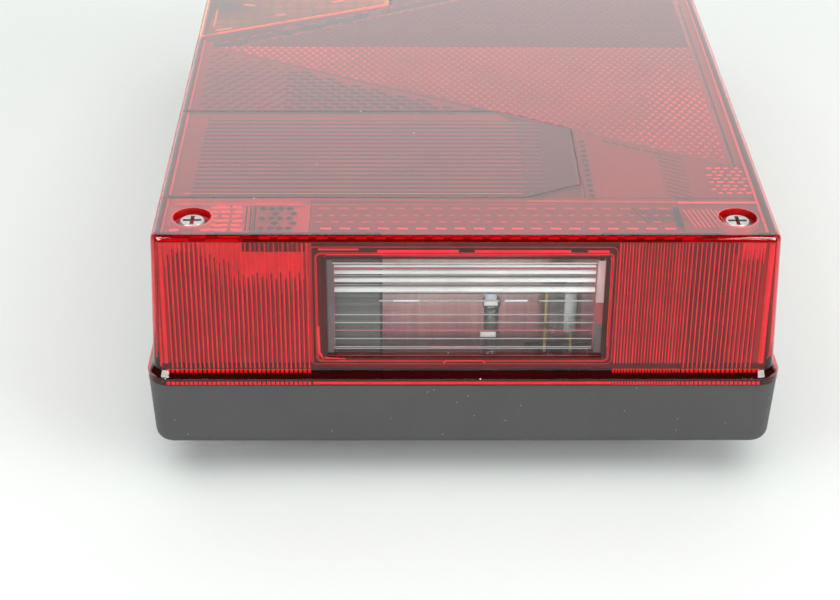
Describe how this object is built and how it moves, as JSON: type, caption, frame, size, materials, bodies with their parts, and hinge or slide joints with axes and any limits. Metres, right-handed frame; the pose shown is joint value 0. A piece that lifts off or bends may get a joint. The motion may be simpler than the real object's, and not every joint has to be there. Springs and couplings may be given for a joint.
{
  "type": "trailer tail light",
  "caption": "Rectangular multi-function trailer rear lamp: red and amber screwed lens with triangular reflector and number plate window, bayonet bulbs, rear plug socket and studs.",
  "frame": {"origin": "middle of the housing's flat back face, which lies on the trailer", "axes": "+Z points out of the lens face; Y runs along the 240 mm length, with the number plate window in the end wall at -Y; X runs across the 140 mm width, with the amber segment at -X"},
  "size_m": [0.14, 0.24, 0.061],
  "materials": {
    "housing_plastic": "fine matte moulded ABS",
    "carrier_plastic": "dark grey moulded plastic",
    "reflector_plastic": "grey satin reflector plastic",
    "insulator_plastic": "cream insulating plastic",
    "socket_plastic": "black glass-filled nylon",
    "red_lens": "clear red PMMA with moulded optics inside",
    "fog_red": "clear red PMMA with ribs inside",
    "amber": "clear amber PMMA",
    "clear_window": "clear PMMA with moulded flutes",
    "reflex_red": "red retroreflector plate",
    "gasket_rubber": "soft black rubber",
    "zinc_steel": "zinc plated steel",
    "contact_brass": "stamped brass",
    "tinned_brass": "tinned brass",
    "holder_steel": "plated pressed steel",
    "spring_steel": "spring wire",
    "bulb_glass": "clear bulb glass",
    "bulb_mount": "lead wires, stem and coil",
    "bulb_wire": "lead wires and coil"
  },
  "bodies": {
    "housing": {"rear_housing": "housing_plastic", "rim_gasket": "gasket_rubber", "mounting_studs": "zinc_steel", "stud_seals": "gasket_rubber", "socket_seal": "gasket_rubber", "socket_collar": "socket_plastic", "socket_insert": "socket_plastic", "socket_pins": "tinned_brass", "bulb_carrier": "carrier_plastic", "carrier_screws": "zinc_steel", "ground_strip": "contact_brass", "indicator_feed_strip": "contact_brass", "tail_feed_strip": "contact_brass", "stop_feed_strip": "contact_brass", "fog_feed_strip": "contact_brass", "fog_reflector": "reflector_plastic", "chamber_walls": "carrier_plastic", "amber_partition": "carrier_plastic", "stop_tail_reflector": "reflector_plastic", "indicator_reflector": "reflector_plastic", "holder_insulators": "insulator_plastic", "plate_bulb_socket": "socket_plastic", "carrier_rivet_post": "zinc_steel", "indicator_bulb_holder": "holder_steel", "indicator_contact_spring": "spring_steel", "stop_tail_bulb_holder": "holder_steel", "stop_tail_contact_spring": "spring_steel", "fog_bulb_holder": "holder_steel", "fog_contact_spring": "spring_steel"},
    "lens_cover": {"main_lens": "red_lens", "amber_lens": "amber", "fog_lens": "fog_red", "plate_window": "clear_window", "triangle_reflector": "reflex_red"},
    "washer_near_left": {"screw_washer_near_left": "zinc_steel"},
    "screw_near_left": {"lens_screw_near_left": "zinc_steel"},
    "washer_near_right": {"screw_washer_near_right": "zinc_steel"},
    "screw_near_right": {"lens_screw_near_right": "zinc_steel"},
    "washer_far_left": {"screw_washer_far_left": "zinc_steel"},
    "screw_far_left": {"lens_screw_far_left": "zinc_steel"},
    "washer_far_right": {"screw_washer_far_right": "zinc_steel"},
    "screw_far_right": {"lens_screw_far_right": "zinc_steel"},
    "indicator_contact": {"indicator_contact_plunger": "tinned_brass"},
    "indicator_bulb": {"indicator_bulb_cap": "tinned_brass", "indicator_bulb_glass": "bulb_glass", "indicator_bulb_filament": "bulb_mount"},
    "stop_tail_contact": {"stop_tail_contact_plunger": "tinned_brass"},
    "stop_tail_bulb": {"stop_tail_bulb_cap": "tinned_brass", "stop_tail_bulb_glass": "bulb_glass", "stop_tail_bulb_filament": "bulb_mount"},
    "fog_contact": {"fog_contact_plunger": "tinned_brass"},
    "fog_bulb": {"fog_bulb_cap": "tinned_brass", "fog_bulb_glass": "bulb_glass", "fog_bulb_filament": "bulb_mount"},
    "plate_bulb": {"plate_bulb_glass": "bulb_glass", "plate_bulb_filament": "bulb_wire"}
  },
  "joints": [
    {"name": "lens_lift", "type": "slide", "parent": "housing", "child": "lens_cover", "axis": [0, 0, 1], "range_m": [0, 0.06]},
    {"name": "screw_rise_near_left", "type": "slide", "parent": "lens_cover", "child": "washer_near_left", "axis": [0, 0, 1], "range_m": [0, 0.012]},
    {"name": "screw_turn_near_left", "type": "hinge", "parent": "washer_near_left", "child": "screw_near_left", "pos_m": [-0.059, -0.108, 0.0485], "axis": [0, 0, 1], "range_deg": [0, 2165]},
    {"name": "screw_rise_near_right", "type": "slide", "parent": "lens_cover", "child": "washer_near_right", "axis": [0, 0, 1], "range_m": [0, 0.012]},
    {"name": "screw_turn_near_right", "type": "hinge", "parent": "washer_near_right", "child": "screw_near_right", "pos_m": [0.059, -0.108, 0.0485], "axis": [0, 0, 1], "range_deg": [0, 2165]},
    {"name": "screw_rise_far_left", "type": "slide", "parent": "lens_cover", "child": "washer_far_left", "axis": [0, 0, 1], "range_m": [0, 0.012]},
    {"name": "screw_turn_far_left", "type": "hinge", "parent": "washer_far_left", "child": "screw_far_left", "pos_m": [-0.059, 0.108, 0.0485], "axis": [0, 0, 1], "range_deg": [0, 2165]},
    {"name": "screw_rise_far_right", "type": "slide", "parent": "lens_cover", "child": "washer_far_right", "axis": [0, 0, 1], "range_m": [0, 0.012]},
    {"name": "screw_turn_far_right", "type": "hinge", "parent": "washer_far_right", "child": "screw_far_right", "pos_m": [0.059, 0.108, 0.0485], "axis": [0, 0, 1], "range_deg": [0, 2165]},
    {"name": "indicator_bulb_press", "type": "slide", "parent": "housing", "child": "indicator_contact", "axis": [0, 1, 0], "range_m": [0, 0.0023], "stiffness_N_per_m": 600, "springref_m": -0.005, "deforming": ["indicator_contact_spring"]},
    {"name": "indicator_bulb_turn", "type": "hinge", "parent": "indicator_contact", "child": "indicator_bulb", "pos_m": [-0.0415, 0.097, 0.026], "axis": [0, -1, 0], "range_deg": [0, 20]},
    {"name": "stop_tail_bulb_press", "type": "slide", "parent": "housing", "child": "stop_tail_contact", "axis": [0, 1, 0], "range_m": [0, 0.0023], "stiffness_N_per_m": 600, "springref_m": -0.005, "deforming": ["stop_tail_contact_spring"]},
    {"name": "stop_tail_bulb_turn", "type": "hinge", "parent": "stop_tail_contact", "child": "stop_tail_bulb", "pos_m": [0.018, 0.086, 0.026], "axis": [0, -1, 0], "range_deg": [0, 20]},
    {"name": "fog_bulb_press", "type": "slide", "parent": "housing", "child": "fog_contact", "axis": [1, 0, 0], "range_m": [0, 0.0023], "stiffness_N_per_m": 600, "springref_m": -0.005, "deforming": ["fog_contact_spring"]},
    {"name": "fog_bulb_turn", "type": "hinge", "parent": "fog_contact", "child": "fog_bulb", "pos_m": [0.022, -0.076, 0.026], "axis": [-1, 0, 0], "range_deg": [0, 20]},
    {"name": "plate_bulb_pull", "type": "slide", "parent": "housing", "child": "plate_bulb", "axis": [0, 0, 1], "range_m": [0, 0.0075]}
  ],
  "couplings": [
    {"joint": "screw_turn_near_left", "follows": "screw_rise_near_left", "rad_per_m": 3141.6},
    {"joint": "screw_turn_near_right", "follows": "screw_rise_near_right", "rad_per_m": 3141.6},
    {"joint": "screw_turn_far_left", "follows": "screw_rise_far_left", "rad_per_m": 3141.6},
    {"joint": "screw_turn_far_right", "follows": "screw_rise_far_right", "rad_per_m": 3141.6}
  ]
}
